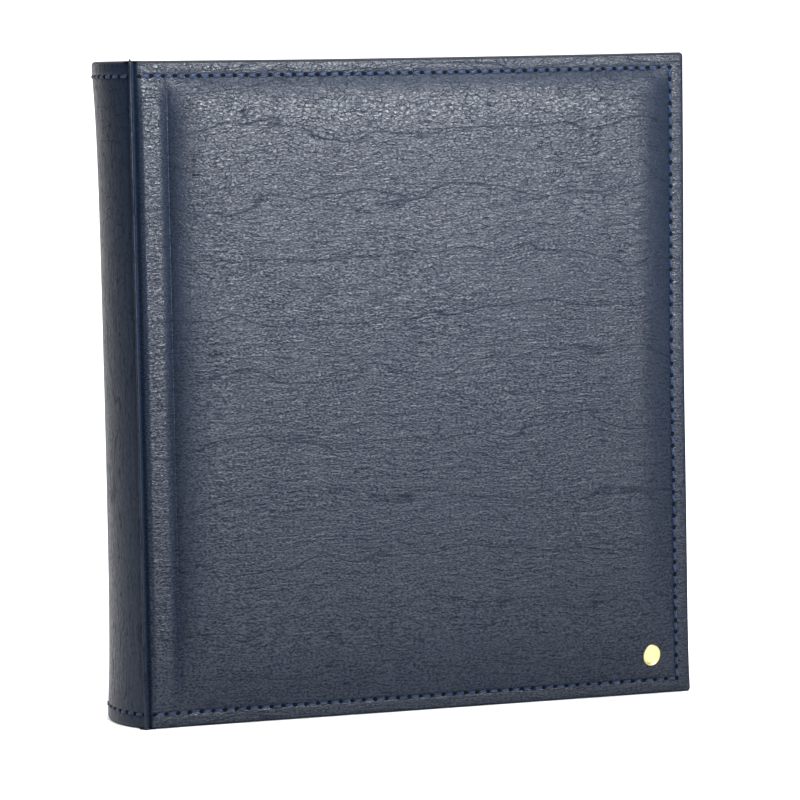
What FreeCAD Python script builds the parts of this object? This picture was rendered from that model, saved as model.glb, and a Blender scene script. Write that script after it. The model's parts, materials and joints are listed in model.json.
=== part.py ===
import FreeCAD, Part
import math
import operator
import os

import Sketcher

# Padded leatherette coin album. Two padded covers and a rounded spine hang on two leather folds,
# and a four-ring mechanism on the back cover holds clear pocket pages with cards between them.
# Frame, in millimetres: +Z up, +Y out of the back cover, +X towards the fore-edge.
# The origin is under the middle of the closed album, on the surface that it stands on.

doc = FreeCAD.newDocument("coin_album")
sheet = doc.addObject("Spreadsheet::Sheet", "dims")
SIGNS = {"+": operator.add, "-": operator.sub, "*": operator.mul, "/": operator.truediv}
parts = []


class Size:
    """A number together with the sheet expression that gives it."""

    def __init__(self, text, number):
        self.text = text
        self.number = float(number)

    def __add__(self, other):
        return combine(self, "+", other)

    def __radd__(self, other):
        return combine(other, "+", self)

    def __sub__(self, other):
        return combine(self, "-", other)

    def __rsub__(self, other):
        return combine(other, "-", self)

    def __mul__(self, other):
        return combine(self, "*", other)

    def __rmul__(self, other):
        return combine(other, "*", self)

    def __truediv__(self, other):
        return combine(self, "/", other)

    def __neg__(self):
        return combine(0, "-", self)


def sized(value):
    if isinstance(value, Size):
        return value
    return Size(repr(float(value)), value)


def combine(left, sign, right):
    left = sized(left)
    right = sized(right)
    return Size(f"({left.text} {sign} {right.text})", SIGNS[sign](left.number, right.number))


def root(value):
    return Size(f"sqrt({value.text})", math.sqrt(value.number))


def sine(degrees):
    return Size(f"sin({degrees.text})", math.sin(math.radians(degrees.number)))


def cosine(degrees):
    return Size(f"cos({degrees.text})", math.cos(math.radians(degrees.number)))


def arcsine(value):
    return Size(f"(asin({value.text}) / 1 deg)", math.degrees(math.asin(value.number)))


def dim(alias, number):
    """Write one driving dimension to the sheet and return it as a Size."""
    row = dim.count
    dim.count += 1
    sheet.set(f"A{row}", alias)
    sheet.set(f"B{row}", str(number))
    sheet.setAlias(f"B{row}", alias)
    return Size(f"dims.{alias}", number)


dim.count = 1


# ---------------------------------------------------------------- driving dimensions

# Case
album_height = dim("album_height", 265)
cover_width = dim("cover_width", 230)
album_thickness = dim("album_thickness", 50)
spine_bulge = dim("spine_bulge", 10.5)
skin = dim("skin_thickness", 0.8)
board = dim("board_thickness", 2.5)
spine_board = dim("spine_board_thickness", 2.0)
spine_lining = dim("spine_lining_thickness", 0.6)
lining = dim("lining_thickness", 0.8)
pad_crown = dim("pad_crown_height", 3.5)
pad_margin = dim("pad_margin", 9.5)
pad_hinge_margin = dim("pad_hinge_margin", 16)
pad_slope = dim("pad_slope_width", 24)
turn_in = dim("turn_in_width", 14)
glue_gap = dim("lining_edge_gap", 0.1)
# Hinge
fold_radius = dim("fold_radius", 0.9)
fold_clearance = dim("fold_clearance", 0.05)
hinge_strip = dim("hinge_strip_width", 3.2)
hinge_sink = dim("hinge_strip_sink", 0.6)
hinge_back = dim("hinge_strip_setback", 0.3)
spine_board_gap = dim("spine_board_gap", 4.6)
# Stitching
stitch_inset = dim("stitch_inset", 6)
thread = dim("thread_width", 0.8)
thread_sink = dim("thread_sink", 0.4)
# Badge
badge_tall = dim("badge_height", 9)
badge_wide = dim("badge_width", 7.6)
badge_from_edge = dim("badge_from_edge", 17.5)
badge_from_foot = dim("badge_from_foot", 16.8)
badge_seat = dim("badge_seat_height", 1.1)
badge_sheet = dim("badge_thickness", 1.1)
badge_rim = dim("badge_rim", 0.7)
badge_recess = dim("badge_recess", 0.25)
# Ring mechanism
shell_half_width = dim("shell_half_width", 12)
shell_shoulder = dim("shell_shoulder_radius", 4.5)
shell_wall_height = dim("shell_wall_height", 2.5)
shell_sheet = dim("shell_sheet_thickness", 0.8)
shell_end_margin = dim("shell_end_margin", 24.5)
leaf_sheet = dim("leaf_sheet_thickness", 1.0)
leaf_rise = dim("leaf_height_above_lining", 3.4)
leaf_half_width = dim("leaf_half_width", 10.4)
leaf_gap = dim("leaf_gap", 0.2)
wire = dim("ring_wire_diameter", 2.8)
ring_headroom = dim("ring_headroom", 4.5)
ring_leaf_drop = dim("ring_above_leaf", 1.5)
ring_spine_gap = dim("ring_to_crease", 3.6)
ring_foot_angle = dim("ring_foot_angle", 56)
ring_foot_bend = dim("ring_foot_bend_radius", 3)
foot_clearance = dim("ring_foot_clearance", 0.8)
ring_near = dim("inner_ring_offset", 32.5)
ring_far = dim("outer_ring_offset", 77.5)
rivet_offset = dim("rivet_offset", 55)
rivet_radius = dim("rivet_radius", 2.4)
rivet_head_radius = dim("rivet_head_radius", 4)
rivet_head = dim("rivet_head_height", 0.8)
rivet_clearance = dim("rivet_to_leaf_clearance", 1.0)
# Levers
pin_radius = dim("lever_pin_radius", 1.25)
pin_clearance = dim("lever_pin_clearance", 0.05)
pin_inset = dim("lever_pin_inset", 3)
pin_above_lining = dim("lever_pin_above_lining", 3.5)
pin_half_length = dim("lever_pin_half_length", 11.5)
hub_radius = dim("lever_hub_radius", 2.2)
lever_width = dim("lever_width", 12)
nose_width = dim("lever_nose_width", 2.4)
nose_length = dim("lever_nose_length", 3.4)
nose_drop = dim("lever_nose_drop", 0.4)
nose_sheet = dim("lever_nose_thickness", 1.0)
tab_length = dim("lever_tab_length", 12)
tab_lift = dim("lever_tab_lift", 4.2)
tab_sheet = dim("lever_tab_thickness", 1.2)
leaf_to_hub = dim("leaf_to_lever_hub", 0.4)
# Pages
page_pairs = 8
page_sheet = dim("pocket_page_thickness", 0.7)
card_sheet = dim("interleaf_thickness", 0.5)
page_margin = dim("page_end_margin", 6.5)
page_fore_margin = dim("page_fore_margin", 4.5)
page_corner = dim("page_corner_radius", 3)
hole_margin = dim("page_hole_margin", 7.5)
slot_back = dim("page_slot_behind_wire", 3.3)
slot_front = dim("page_slot_beyond_wire", 7.3)
slot_height = dim("page_slot_height", 5)
slot_corner = dim("page_slot_corner_radius", 1.2)
stack_share = dim("page_stack_share_of_ring", 0.733)

# ---------------------------------------------------------------- places worked out from them

crease_x = -(cover_width - spine_bulge) / 2
fore_x = crease_x + cover_width
half_thickness = album_thickness / 2
mid_height = album_height / 2
cover_build = skin + board + lining
lining_y = half_thickness - cover_build
board_x = crease_x + hinge_strip + skin
# Rounded spine: an arc through both creases
spine_radius = (half_thickness * half_thickness + spine_bulge * spine_bulge) / (2 * spine_bulge)
spine_axis_x = crease_x - spine_bulge + spine_radius
crease_angle = arcsine(half_thickness / spine_radius)
mm_per_degree = spine_radius * math.pi / 180
spine_board_angle = crease_angle - spine_board_gap / mm_per_degree
# Ring mechanism
leaf_top_y = lining_y - leaf_rise - leaf_sheet
leaf_under_y = leaf_top_y + leaf_sheet
shell_top_y = lining_y - shell_wall_height - shell_shoulder
ring_bottom_y = leaf_top_y - ring_leaf_drop
ring_top_y = -(lining_y - ring_headroom - wire / 2)
ring_radius = (ring_bottom_y - ring_top_y) / 2
ring_y = (ring_bottom_y + ring_top_y) / 2
ring_x = crease_x + ring_spine_gap + wire / 2 + ring_radius
foot_reach = ring_radius + ring_foot_bend
foot_x = foot_reach * cosine(ring_foot_angle) - ring_foot_bend
foot_y = foot_reach * sine(ring_foot_angle)
ring_offsets = (-ring_far, -ring_near, ring_near, ring_far)
rivet_offsets = (-rivet_offset, rivet_offset)
shell_half_length = mid_height - shell_end_margin
pin_offset = shell_half_length - pin_inset
pin_y = lining_y - pin_above_lining
leaf_half_length = pin_offset - hub_radius - leaf_to_hub


# ---------------------------------------------------------------- drawing helpers

def bind(item, field, value):
    item.setExpression(field, sized(value).text)


def place(item, x=0, y=0, z=0):
    for field, value in (("x", x), ("y", y), ("z", z)):
        bind(item, f"Placement.Base.{field}", value)
    return item


def outward(side, near, far):
    """The Y span from near to far on the back (side 1) or, mirrored, on the front (side -1)."""
    if side > 0:
        return (near, far)
    return (-far, -near)


def block(name, x_span, y_span, z_span):
    item = doc.addObject("Part::Box", name)
    for field, (low, high) in (("Length", x_span), ("Width", y_span), ("Height", z_span)):
        bind(item, field, high - low)
    return place(item, x_span[0], y_span[0], z_span[0])


TURN_TO = {
    "x": FreeCAD.Rotation(FreeCAD.Vector(0, 1, 0), 90),
    "y": FreeCAD.Rotation(FreeCAD.Vector(1, 0, 0), -90),
    "z": FreeCAD.Rotation(),
}


def rod(name, along, radius, length, x=0, y=0, z=0):
    """A cylinder that starts at the point and runs along one axis."""
    item = doc.addObject("Part::Cylinder", name)
    item.Placement = FreeCAD.Placement(FreeCAD.Vector(), TURN_TO[along])
    bind(item, "Radius", radius)
    bind(item, "Height", length)
    return place(item, x, y, z)


def fuse(name, items):
    item = doc.addObject("Part::MultiFuse", name)
    item.Shapes = items
    return item


def cut(name, base, tools):
    item = doc.addObject("Part::Cut", name)
    item.Base = base
    item.Tool = tools[0] if len(tools) == 1 else fuse(name + "_tools", tools)
    return item


def group(name, items):
    item = doc.addObject("Part::Compound", name)
    item.Links = items
    return item


def part(item, label):
    """Keep an object as one of the album's pieces, under the name of its file."""
    item.Label = label
    parts.append(item)
    return item


def spine_sector(name, outer, inner, half_angle, low, high):
    """A curved slab of the spine between two radii, centred on the album's middle plane."""
    rounds = []
    for suffix, radius in (("_outer", outer), ("_inner", inner)):
        item = doc.addObject("Part::Cylinder", name + suffix)
        item.Placement = FreeCAD.Placement(FreeCAD.Vector(), FreeCAD.Rotation(FreeCAD.Vector(0, 0, 1), 1))
        bind(item, "Radius", radius)
        bind(item, "Height", high - low)
        bind(item, "Angle", 2 * half_angle)
        bind(item, "Placement.Rotation.Angle", 180 - half_angle)
        rounds.append(place(item, spine_axis_x, 0, low))
    return cut(name, rounds[0], [rounds[1]])


def new_body(name, x=0, y=0, z=0):
    return place(doc.addObject("PartDesign::Body", name), x, y, z)


def new_sketch(body, name, role, offset=None):
    item = body.newObject("Sketcher::SketchObject", name)
    plane = [feature for feature in body.Origin.OriginFeatures if feature.Role == role][0]
    item.AttachmentSupport = (plane, [""])
    item.MapMode = "FlatFace"
    if offset is not None:
        bind(item, "AttachmentOffset.Base.z", offset)
    return item


def fix_point(sketch, edge, end, corner):
    """Hold one end of an edge at its corner's two sizes."""
    for kind, value in (("DistanceX", corner[0]), ("DistanceY", corner[1])):
        number = sketch.addConstraint(Sketcher.Constraint(kind, -1, 1, edge, end, sized(value).number))
        sketch.setExpression(f"Constraints[{number}]", sized(value).text)


def fix_radius(sketch, edge, radius):
    number = sketch.addConstraint(Sketcher.Constraint("Radius", edge, sized(radius).number))
    sketch.setExpression(f"Constraints[{number}]", sized(radius).text)


def arc_between(start, end, radius, turn):
    """The short arc from start to end: turn 1 bends to the left, -1 to the right."""
    middle = (start + end) * 0.5
    chord = end - start
    rise = math.sqrt(max(radius * radius - chord.Length * chord.Length / 4, 0))
    left = FreeCAD.Vector(-chord.y, chord.x, 0).normalize()
    centre = middle + left * (rise * turn)
    circle = Part.Circle(centre, FreeCAD.Vector(0, 0, 1), radius)
    first, last = (start, end) if turn > 0 else (end, start)
    angles = [math.atan2(point.y - centre.y, point.x - centre.x) for point in (first, last)]
    if angles[1] < angles[0]:
        angles[1] += 2 * math.pi
    return Part.ArcOfCircle(circle, angles[0], angles[1])


def outline(sketch, corners, closed=True):
    """Join corners (x, y) in turn; (x, y, radius, turn) starts an arc to the next corner."""
    edges = []
    count = len(corners) if closed else len(corners) - 1
    points = [FreeCAD.Vector(sized(c[0]).number, sized(c[1]).number, 0) for c in corners]
    for place_in_line in range(count):
        corner = corners[place_in_line]
        start = points[place_in_line]
        end = points[(place_in_line + 1) % len(points)]
        if len(corner) == 2:
            edge = sketch.addGeometry(Part.LineSegment(start, end))
            edges.append((edge, 1, 2))
            continue
        edge = sketch.addGeometry(arc_between(start, end, sized(corner[2]).number, corner[3]))
        fix_radius(sketch, edge, corner[2])
        edges.append((edge, 1, 2) if corner[3] > 0 else (edge, 2, 1))
    for place_in_line, (edge, start, end) in enumerate(edges):
        fix_point(sketch, edge, start, corners[place_in_line])
        if closed or place_in_line + 1 < count:
            following = edges[(place_in_line + 1) % count]
            sketch.addConstraint(Sketcher.Constraint("Coincident", edge, end, following[0], following[1]))
        else:
            fix_point(sketch, edge, end, corners[-1])


def circle(sketch, x, y, radius):
    centre = FreeCAD.Vector(sized(x).number, sized(y).number, 0)
    edge = sketch.addGeometry(Part.Circle(centre, FreeCAD.Vector(0, 0, 1), sized(radius).number))
    fix_radius(sketch, edge, radius)
    fix_point(sketch, edge, 3, (x, y))


def rounded_rectangle(sketch, x_span, y_span, radius):
    left, right = x_span
    low, high = y_span
    outline(sketch, [
        (left + radius, low), (right - radius, low, radius, 1),
        (right, low + radius), (right, high - radius, radius, 1),
        (right - radius, high), (left + radius, high, radius, 1),
        (left, high - radius), (left, low + radius, radius, 1),
    ])


def pad(body, name, sketch, length, both_ways=True):
    item = body.newObject("PartDesign::Pad", name)
    item.Profile = sketch
    item.Midplane = both_ways
    bind(item, "Length", length)
    return item


def pocket_through(body, name, sketch):
    item = body.newObject("PartDesign::Pocket", name)
    item.Profile = sketch
    item.Type = "ThroughAll"
    item.Midplane = True
    return item


# ---------------------------------------------------------------- padded covers

def crown(name, side, base_y):
    """The low padded frustum that stands on one cover, from base_y outwards."""
    item = doc.addObject("Part::Wedge", name)
    base = (crease_x + pad_hinge_margin, fore_x - pad_margin, pad_margin, album_height - pad_margin)
    top = (base[0] + pad_slope, base[1] - pad_slope, base[2] + pad_slope, base[3] - pad_slope)
    low_y, high_y = outward(side, base_y, base_y + pad_crown)
    first, second = (base, top) if side > 0 else (top, base)
    bind(item, "Ymin", low_y)
    bind(item, "Ymax", high_y)
    for field, value in zip(("Xmin", "Xmax", "Zmin", "Zmax"), first):
        bind(item, field, value)
    for field, value in zip(("X2min", "X2max", "Z2min", "Z2max"), second):
        bind(item, field, value)
    return item


def edge_run(name, side, near, far):
    """A U of square section along the head, fore-edge and foot: the stitch line."""
    inner = stitch_inset - thread / 2
    outer = stitch_inset + thread / 2
    start_x = crease_x + hinge_strip + skin
    y_span = outward(side, near, far)
    return fuse(name, [
        block(name + "_foot", (start_x, fore_x - inner), y_span, (inner, outer)),
        block(name + "_head", (start_x, fore_x - inner), y_span, (album_height - outer, album_height - inner)),
        block(name + "_fore", (fore_x - outer, fore_x - inner), y_span, (inner, album_height - inner)),
    ])


def badge_oval(name, shrink, low_y, high_y):
    oval = doc.addObject("Part::Ellipse", name + "_edge")
    oval.Placement = FreeCAD.Placement(FreeCAD.Vector(), FreeCAD.Rotation(FreeCAD.Vector(1, 1, 1), -120))
    bind(oval, "MajorRadius", badge_tall / 2 - shrink)
    bind(oval, "MinorRadius", badge_wide / 2 - shrink)
    place(oval, fore_x - badge_from_edge, low_y, badge_from_foot)
    item = doc.addObject("Part::Extrusion", name)
    item.Base = oval
    item.DirMode = "Custom"
    item.Dir = FreeCAD.Vector(0, 1, 0)
    item.Solid = True
    bind(item, "LengthFwd", high_y - low_y)
    return item


def build_cover(name, side):
    full = (0 * album_height, album_height)
    board_outer = half_thickness - skin
    board_inner = board_outer - board
    inside = (skin, album_height - skin)
    board_span = (board_x, fore_x - skin)

    # Board, pierced and counterbored where the mechanism's rivets are set
    panel = block(name + "_panel", board_span, outward(side, board_inner, board_outer), inside)
    lining_x = (board_x + turn_in, fore_x - turn_in)
    lining_z = (turn_in, album_height - turn_in)
    sheet_x = (lining_x[0] + glue_gap, lining_x[1] - glue_gap)
    sheet_z = (lining_z[0] + glue_gap, lining_z[1] - glue_gap)
    if side > 0:
        sheet_x = (crease_x + hinge_strip + skin + glue_gap, sheet_x[1])
        lining_x = (crease_x + hinge_strip + skin, lining_x[1])
    endpaper = block(name + "_sheet", sheet_x, outward(side, lining_y, board_inner), sheet_z)
    if side > 0:
        shanks = []
        sinks = []
        for number, offset in enumerate(rivet_offsets):
            at_z = mid_height + offset
            reach = half_thickness - lining_y
            shanks.append(rod(f"{name}_shank_hole_{number}", "y", rivet_radius, reach, ring_x, lining_y, at_z))
            sinks.append(rod(f"{name}_sink_{number}", "y", rivet_head_radius, rivet_head,
                             ring_x, board_outer - rivet_head, at_z))
        part(cut("back_board", panel, shanks + sinks), name + "_board")
        part(cut("back_lining", endpaper, shanks), name + "_lining")
    else:
        part(panel, name + "_board")
        part(endpaper, name + "_lining")

    part(crown(name + "_padding_crown", side, board_outer), name + "_padding")

    # Skin: a slab and crown, hollowed for the board and padding, open inside its turned-in border
    slab = block(name + "_slab", (crease_x + hinge_strip, fore_x), outward(side, lining_y, half_thickness), full)
    hinge_outer = half_thickness - hinge_sink
    strip = block(name + "_hinge_strip", (crease_x + hinge_back, board_x),
                  outward(side, hinge_outer - skin, hinge_outer), full)
    outer = fuse(name + "_skin_outer", [slab, strip, crown(name + "_skin_crown", side, half_thickness)])
    hollows = [
        block(name + "_board_space", board_span, outward(side, board_inner, board_outer), inside),
        crown(name + "_pad_space", side, board_outer),
        block(name + "_window", lining_x, outward(side, lining_y - skin, board_inner), lining_z),
        rod(name + "_fold_space", "z", fold_radius + fold_clearance, album_height, crease_x, side * half_thickness),
        edge_run(name + "_stitch_groove", side, half_thickness - thread_sink, half_thickness),
    ]
    if side < 0:
        badge_high = -half_thickness - badge_seat
        badge_low = badge_high - badge_sheet
        hollows.append(badge_oval("badge_seat", 0 * badge_rim, badge_low, badge_high))
        plate = badge_oval("badge_plate", 0 * badge_rim, badge_low, badge_high)
        field = badge_oval("badge_field", badge_rim, badge_low, badge_low + badge_recess)
        part(cut("badge_cut", plate, [field]), "badge")
    part(cut(name + "_skin_cut", outer, hollows), name + "_skin")

    part(edge_run(name + "_thread_run", side, half_thickness - thread_sink, half_thickness), name + "_thread")


# ---------------------------------------------------------------- rounded spine

def build_spine():
    low = 0 * album_height
    board_outer = spine_radius - skin
    board_inner = board_outer - spine_board
    face = board_inner - spine_lining
    wall_angle = spine_board_angle + skin / mm_per_degree
    fold_angle = crease_angle - fold_radius / 2 / mm_per_degree
    stitch_angle = crease_angle - 2 * fold_radius / mm_per_degree

    part(spine_sector("spine_board_arc", board_outer, board_inner, spine_board_angle,
                      skin, album_height - skin), "spine_board")
    part(spine_sector("spine_lining_arc", board_inner, face, spine_board_angle,
                      turn_in + glue_gap, album_height - turn_in - glue_gap), "spine_lining")

    stitches = []
    grooves = []
    for number, at_z in enumerate((stitch_inset, album_height - stitch_inset)):
        span = (at_z - thread / 2, at_z + thread / 2)
        stitches.append(spine_sector(f"spine_stitch_{number}", spine_radius, spine_radius - thread_sink,
                                     stitch_angle, *span))
        grooves.append(spine_sector(f"spine_groove_{number}", spine_radius + skin, spine_radius - thread_sink,
                                    stitch_angle, *span))
    part(group("spine_thread_rows", stitches), "spine_thread")

    folds = [rod(f"fold_{name}", "z", fold_radius, album_height, crease_x, side * half_thickness)
             for name, side in (("front", -1), ("back", 1))]
    outer = fuse("spine_skin_outer", [
        spine_sector("spine_cloth", spine_radius, board_outer, fold_angle, low, album_height),
        spine_sector("spine_wrap", spine_radius, face, wall_angle, low, album_height),
    ] + folds)
    part(cut("spine_skin_cut", outer, [
        spine_sector("spine_board_space", board_outer, board_inner, spine_board_angle, skin, album_height - skin),
        spine_sector("spine_window", board_inner, face - skin, spine_board_angle, turn_in, album_height - turn_in),
    ] + grooves), "spine_skin")


# ---------------------------------------------------------------- ring mechanism

def build_shell():
    """The steel channel that covers the leaves, riveted to the back cover."""
    body = new_body("shell", ring_x, 0, mid_height)
    w = shell_half_width
    shoulder = shell_shoulder
    inner_shoulder = shell_shoulder - shell_sheet
    bend_y = lining_y - shell_wall_height
    flat = w - shoulder
    section = new_sketch(body, "shell_section", "XY_Plane")
    outline(section, [
        (-w, lining_y), (-w, bend_y, shoulder, 1),
        (-flat, shell_top_y), (flat, shell_top_y, shoulder, 1),
        (w, bend_y), (w, lining_y), (w - shell_sheet, lining_y),
        (w - shell_sheet, bend_y, inner_shoulder, -1),
        (flat, shell_top_y + shell_sheet), (-flat, shell_top_y + shell_sheet, inner_shoulder, -1),
        (shell_sheet - w, bend_y), (shell_sheet - w, lining_y),
    ])
    pad(body, "shell_channel", section, 2 * shell_half_length)
    holes = new_sketch(body, "shell_top_holes", "XZ_Plane")
    for offset in ring_offsets:
        for side in (-1, 1):
            circle(holes, side * (foot_x + leaf_gap / 2), offset, wire / 2 + foot_clearance)
    for offset in rivet_offsets:
        circle(holes, 0, offset, rivet_radius)
    pocket_through(body, "shell_top_openings", holes)
    sides = new_sketch(body, "shell_pin_holes", "YZ_Plane")
    for end in (-1, 1):
        circle(sides, pin_y, end * pin_offset, pin_radius)
    pocket_through(body, "shell_pin_openings", sides)
    part(body, "ring_shell")


def build_fixings():
    """Two rivets through shell, lining and board, and the two pins that the levers turn on."""
    rivets = []
    board_outer = half_thickness - skin
    for number, offset in enumerate(rivet_offsets):
        at_z = mid_height + offset
        shank_start = shell_top_y - rivet_head
        rivets.append(fuse(f"rivet_{number}", [
            rod(f"rivet_shank_{number}", "y", rivet_radius, board_outer - shank_start, ring_x, shank_start, at_z),
            rod(f"rivet_head_{number}", "y", rivet_head_radius, rivet_head, ring_x, shank_start, at_z),
            rod(f"rivet_foot_{number}", "y", rivet_head_radius, rivet_head,
                ring_x, board_outer - rivet_head, at_z),
        ]))
    part(group("rivet_pair", rivets), "shell_rivets")
    pins = [rod(f"lever_pin_{end}", "x", pin_radius, 2 * pin_half_length,
                ring_x - pin_half_length, pin_y, mid_height + end * pin_offset) for end in (-1, 1)]
    part(group("pin_pair", pins), "lever_pins")


def build_leaf(name, side):
    """One toggle leaf and the four half rings riveted into it."""
    inner = leaf_gap / 2
    x_span = (ring_x + inner, ring_x + leaf_half_width)
    if side < 0:
        x_span = (ring_x - leaf_half_width, ring_x - inner)
    z_span = (mid_height - leaf_half_length, mid_height + leaf_half_length)
    plate = block(name + "_plate", x_span, (leaf_top_y, leaf_under_y), z_span)
    holes = []
    rings = []
    for number, offset in enumerate(ring_offsets):
        at_x = ring_x + side * (inner + foot_x)
        holes.append(rod(f"{name}_foot_hole_{number}", "y", wire / 2, leaf_sheet,
                         at_x, leaf_top_y, mid_height + offset))
        rings.append(build_half_ring(f"{name}_half_ring_{number}", side, mid_height + offset))
    for number, offset in enumerate(rivet_offsets):
        holes.append(rod(f"{name}_rivet_notch_{number}", "y", rivet_radius + rivet_clearance, leaf_sheet,
                         ring_x, leaf_top_y, mid_height + offset))
    part(cut(name + "_pierced", plate, holes), name)
    part(group(name + "_ring_set", rings), name.replace("leaf", "half_rings"))


def build_half_ring(name, side, at_z):
    """Half of one round ring: an arc from its tip, a foot bend and a straight foot into the leaf."""
    body = new_body(name, ring_x + side * leaf_gap / 2, ring_y, at_z)
    path = new_sketch(body, name + "_path", "XY_Plane")
    shoulder_x = side * ring_radius * cosine(ring_foot_angle)
    shoulder_y = ring_radius * sine(ring_foot_angle)
    low_y = 0 * wire
    outline(path, [
        (0, -ring_radius, ring_radius, side),
        (side * ring_radius, low_y, ring_radius, side),
        (shoulder_x, shoulder_y, ring_foot_bend, -side),
        (side * foot_x, foot_y),
        (side * foot_x, leaf_under_y - ring_y),
    ], closed=False)
    section = new_sketch(body, name + "_section", "YZ_Plane")
    circle(section, -ring_radius, 0, wire / 2)
    doc.recompute()
    item = body.newObject("PartDesign::AdditivePipe", name + "_pipe")
    item.Profile = section
    item.Spine = (path, [f"Edge{number}" for number in range(1, 5)])
    return body


def build_lever(name, end):
    """One end lever: a hub on its pin, a nose under the leaves and a thumb tab outside the shell."""
    body = new_body(name, ring_x, pin_y, mid_height + end * pin_offset)
    hub = new_sketch(body, name + "_hub_sketch", "YZ_Plane")
    circle(hub, 0, 0, hub_radius)
    pad(body, name + "_hub", hub, lever_width)
    tab = new_sketch(body, name + "_tab_sketch", "YZ_Plane")
    outline(tab, [
        (tab_sheet - tab_lift, end * tab_length), (-tab_lift, end * tab_length),
        (pin_clearance - hub_radius + nose_drop, 0 * wire), (hub_radius - tab_sheet - nose_drop, 0 * wire),
    ])
    pad(body, name + "_tab", tab, lever_width)
    nose = new_sketch(body, name + "_nose_sketch", "YZ_Plane")
    outline(nose, [
        (nose_drop, 0 * wire), (nose_drop + nose_sheet, 0 * wire),
        (nose_drop + nose_sheet, -end * nose_length), (nose_drop, -end * nose_length),
    ])
    pad(body, name + "_nose", nose, nose_width)
    bore = new_sketch(body, name + "_bore_sketch", "YZ_Plane")
    circle(bore, 0, 0, pin_radius + pin_clearance)
    pocket_through(body, name + "_bore", bore)
    part(body, name)


# ---------------------------------------------------------------- pages

def build_page(name, thickness, height_on_ring):
    """One page on the rings. Its hole strip follows the round ring, so it shifts with its height."""
    reach = root(ring_radius * ring_radius - height_on_ring * height_on_ring)
    page_width = fore_x - page_fore_margin - (ring_x + ring_radius - hole_margin)
    body = new_body(name, ring_x + reach, ring_y + height_on_ring, mid_height)
    half_height = mid_height - page_margin
    blank = new_sketch(body, name + "_outline", "XZ_Plane")
    rounded_rectangle(blank, (-hole_margin, page_width - hole_margin), (-half_height, half_height), page_corner)
    for offset in ring_offsets:
        rounded_rectangle(blank, (-slot_back, slot_front),
                          (offset - slot_height / 2, offset + slot_height / 2), slot_corner)
    pad(body, name + "_sheet", blank, thickness)
    part(body, name)


def build_pages():
    count = 2 * page_pairs
    half_stack = ring_radius * stack_share
    for number in range(count):
        height_on_ring = half_stack * (2 * number / (count - 1) - 1)
        pair = number // 2 + 1
        if number % 2 == 0:
            build_page(f"pocket_page_{pair}", page_sheet, height_on_ring)
        else:
            build_page(f"interleaf_{pair}", card_sheet, height_on_ring)


# ---------------------------------------------------------------- build, check and write

def check_document():
    for item in doc.Objects:
        for state in ("Invalid", "Error"):
            if state in item.State:
                raise RuntimeError(f"{item.Label} is in state {item.State}")
    labels = [item.Label for item in parts]
    if len(set(labels)) != len(labels):
        raise RuntimeError("two pieces share a name")
    for item in parts:
        if item.Shape.isNull() or not item.Shape.isValid() or not item.Shape.Solids:
            raise RuntimeError(f"{item.Label} has no valid solid")


build_cover("front", -1)
build_cover("back", 1)
build_spine()
build_shell()
build_fixings()
build_leaf("fore_leaf", 1)
build_leaf("spine_leaf", -1)
build_lever("upper_lever", 1)
build_lever("lower_lever", -1)
build_pages()
doc.recompute()
check_document()
os.makedirs("parts", exist_ok=True)
for item in parts:
    item.Shape.exportStep(os.path.join("parts", item.Label + ".step"))
    print(item.Label, len(item.Shape.Solids), "solid(s),", round(item.Shape.Volume, 1), "mm3")
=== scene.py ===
import json
import math

import bmesh
import bpy
import numpy as np
from mathutils import Matrix, Vector

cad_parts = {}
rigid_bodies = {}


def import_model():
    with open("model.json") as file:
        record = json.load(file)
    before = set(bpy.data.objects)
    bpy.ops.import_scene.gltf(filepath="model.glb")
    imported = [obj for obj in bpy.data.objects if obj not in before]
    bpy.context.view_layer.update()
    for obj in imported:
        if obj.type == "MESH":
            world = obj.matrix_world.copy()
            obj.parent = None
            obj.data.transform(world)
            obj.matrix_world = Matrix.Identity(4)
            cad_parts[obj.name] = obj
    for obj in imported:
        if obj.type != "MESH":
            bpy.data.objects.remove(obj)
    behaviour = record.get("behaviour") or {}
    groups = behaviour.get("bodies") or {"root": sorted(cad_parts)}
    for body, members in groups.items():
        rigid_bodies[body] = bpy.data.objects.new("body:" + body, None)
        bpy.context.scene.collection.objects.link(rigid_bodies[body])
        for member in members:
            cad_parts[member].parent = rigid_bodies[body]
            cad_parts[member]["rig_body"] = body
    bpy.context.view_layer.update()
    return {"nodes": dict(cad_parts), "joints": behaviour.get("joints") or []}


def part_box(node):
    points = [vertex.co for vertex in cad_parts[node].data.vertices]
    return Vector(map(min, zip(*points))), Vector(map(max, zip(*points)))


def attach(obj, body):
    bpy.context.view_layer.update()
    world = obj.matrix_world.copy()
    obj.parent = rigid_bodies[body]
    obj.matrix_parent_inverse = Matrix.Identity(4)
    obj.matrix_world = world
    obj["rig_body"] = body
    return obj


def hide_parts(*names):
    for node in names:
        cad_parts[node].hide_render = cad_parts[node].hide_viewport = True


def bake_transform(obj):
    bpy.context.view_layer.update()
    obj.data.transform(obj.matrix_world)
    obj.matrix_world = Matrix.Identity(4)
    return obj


bl_info = {
    "name": "Coin album",
    "version": (1, 0, 0),
    "blender": (4, 5, 0),
    "location": "View3D > Sidebar > Album",
    "description": "Padded leatherette coin album with rings and clear pocket pages",
    "category": "Object",
}

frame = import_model()

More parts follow.
